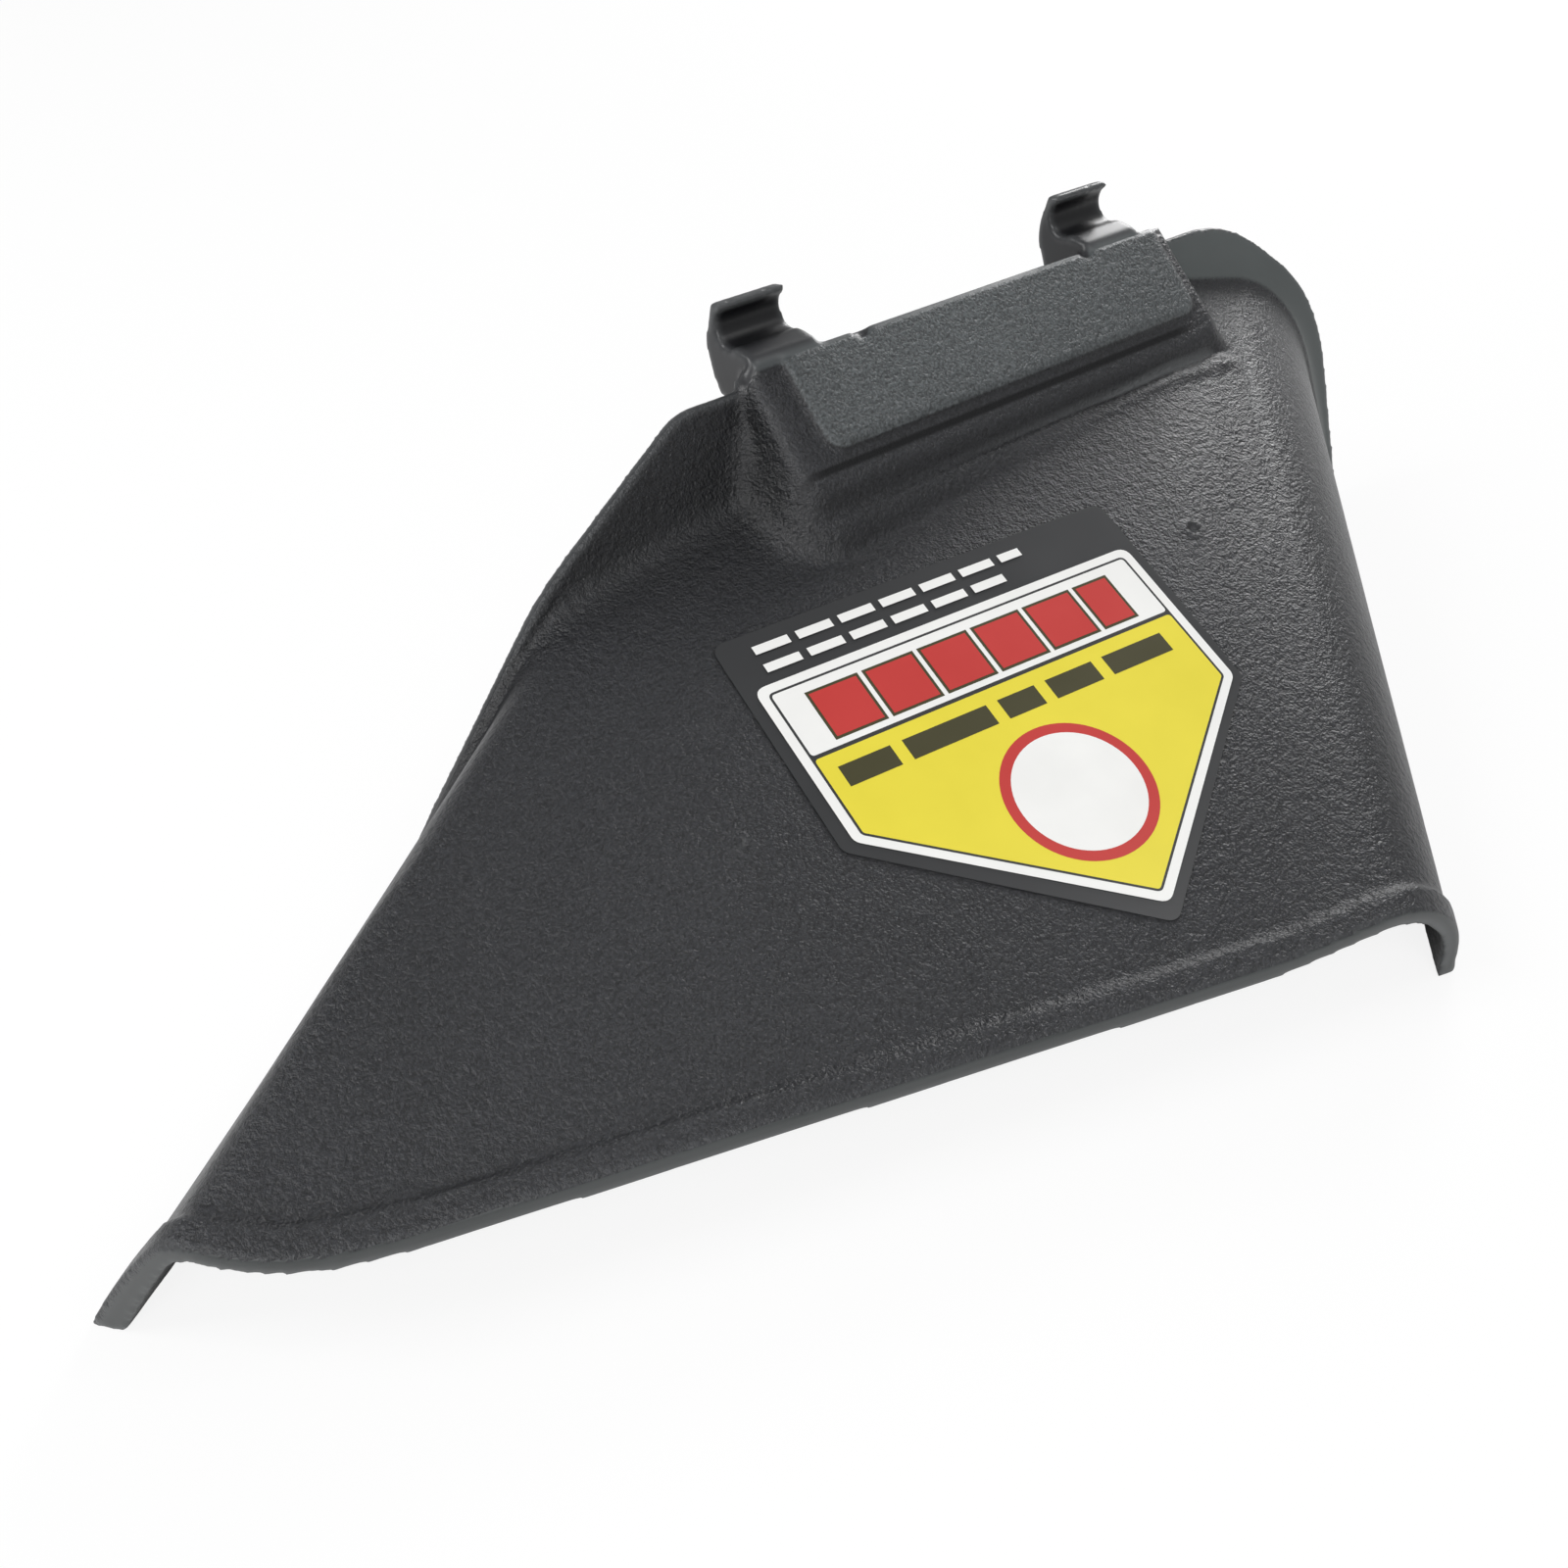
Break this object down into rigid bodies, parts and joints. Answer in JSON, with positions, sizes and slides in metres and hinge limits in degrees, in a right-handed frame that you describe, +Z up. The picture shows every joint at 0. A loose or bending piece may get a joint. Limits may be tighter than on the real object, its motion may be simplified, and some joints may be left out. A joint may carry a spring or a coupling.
{
  "type": "mower discharge deflector",
  "caption": "Open-bottomed side discharge chute with a leaning inlet collar, a thick outlet rim and snap hooks that clip onto a hinge rod.",
  "frame": {"origin": "on the hinge rod's axis, midway between the snap hooks; the hem that the part stands on is 0.1 m below", "axes": "+X along the hinge rod, +Y back towards the mower deck, +Z up; the outlet faces -Y and a little -X"},
  "size_m": [0.4158, 0.1911, 0.1049],
  "materials": {
    "charcoal_plastic": "fine leather grain, low sheen, smooth on the cut edges",
    "printed_film": "glossy clear-coated print in yellow, white, red and black"
  },
  "bodies": {
    "root": {"deflector_shell": "charcoal_plastic", "label_film": "printed_film"}
  },
  "joints": []
}
